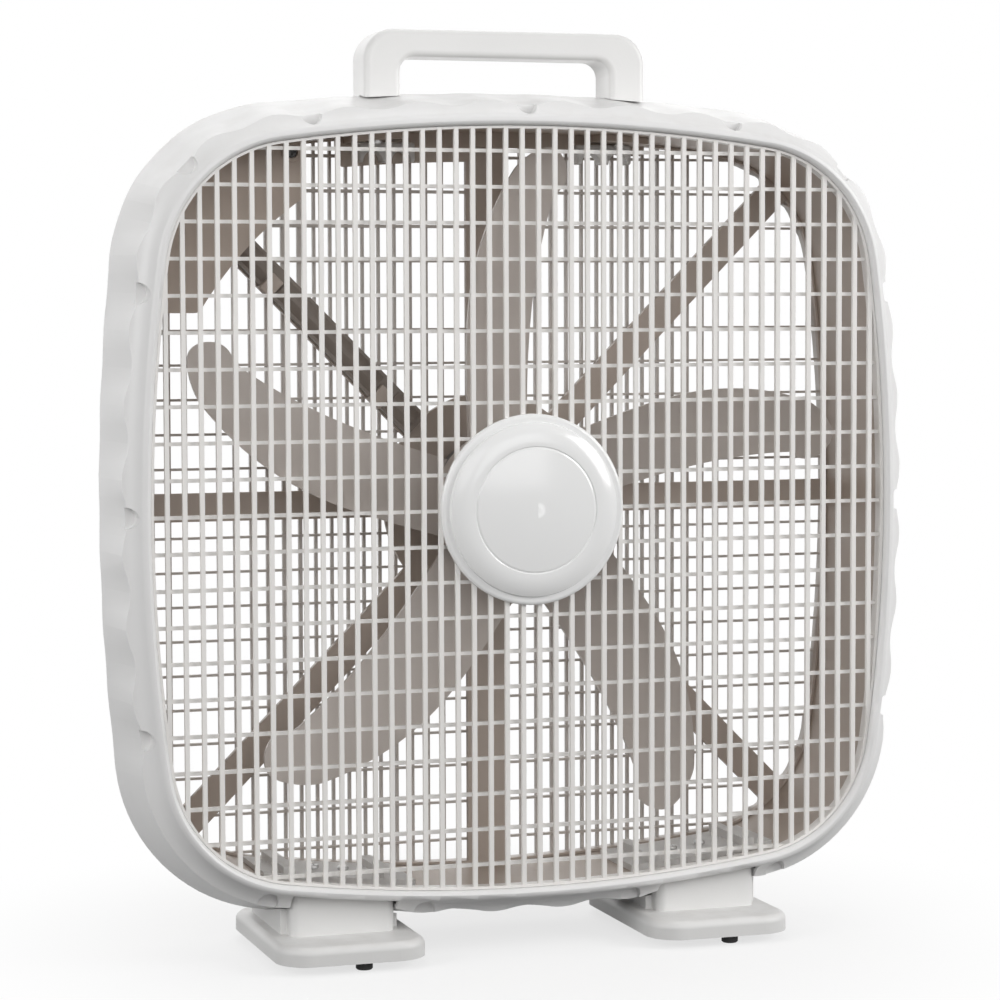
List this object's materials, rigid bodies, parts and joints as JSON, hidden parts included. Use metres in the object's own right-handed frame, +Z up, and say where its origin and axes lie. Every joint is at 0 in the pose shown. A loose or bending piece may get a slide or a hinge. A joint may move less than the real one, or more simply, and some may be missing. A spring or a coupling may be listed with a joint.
{
  "type": "box fan",
  "caption": "Square white box fan on two feet with a carry handle: a taupe bladed wheel turns on a motor behind a grille of upright and level bars.",
  "frame": {"origin": "on the floor under the middle of the housing: centre of the bounding box in X and Y, bottom in Z", "axes": "+X to the viewer's right when facing the front, +Y from front to back, +Z up"},
  "size_m": [0.5356, 0.147, 0.5934],
  "materials": {
    "shell_white": "satin moulded",
    "grille_white": "satin moulded",
    "cap_white": "gloss",
    "handle_white": "satin moulded",
    "foot_white": "satin moulded",
    "taupe": "satin moulded",
    "blade_taupe": "satin moulded",
    "channel_grey": "matt",
    "lead_black": "insulated wire",
    "switch_black": "moulded",
    "knob_white": "satin moulded",
    "motor_steel": "pressed steel",
    "lamination": "stacked sheet",
    "copper": "enamelled copper wire",
    "bronze": "sintered",
    "steel": "zinc plated",
    "rubber": "matt"
  },
  "bodies": {
    "housing": {"front_shell": "shell_white", "front_grille": "grille_white", "hub_cap": "cap_white", "rear_housing": "taupe", "rear_grille": "taupe", "control_box": "taupe", "wire_channel": "channel_grey", "motor_leads": "lead_black", "switch_body": "switch_black", "switch_nut": "steel", "capacitor": "switch_black", "cord_gland": "switch_black", "motor_front_bell": "motor_steel", "motor_rear_bell": "motor_steel", "stator_core": "lamination", "winding_front": "copper", "winding_rear": "copper", "bearing_front": "bronze", "bearing_rear": "bronze", "motor_screws": "steel", "handle": "handle_white", "handle_clip_left": "foot_white", "handle_clip_right": "foot_white", "handle_screws": "steel", "foot_left": "foot_white", "foot_right": "foot_white", "foot_clip_left": "foot_white", "foot_clip_right": "foot_white", "foot_screws": "steel", "foot_pads": "rubber", "shell_screws": "steel"},
    "fan": {"shaft": "steel", "rotor_core": "lamination", "fan_blade": "blade_taupe", "blade_nut": "steel"},
    "selector": {"knob": "knob_white", "switch_stem": "switch_black"}
  },
  "joints": [
    {"name": "fan_spin", "type": "hinge", "parent": "housing", "child": "fan", "pos_m": [0, 0, 0.286], "axis": [0, 1, 0], "continuous": true},
    {"name": "speed_knob", "type": "hinge", "parent": "housing", "child": "selector", "pos_m": [-0.19, 0.0575, 0.476], "axis": [0, -1, 0], "range_deg": [0, 135]}
  ]
}
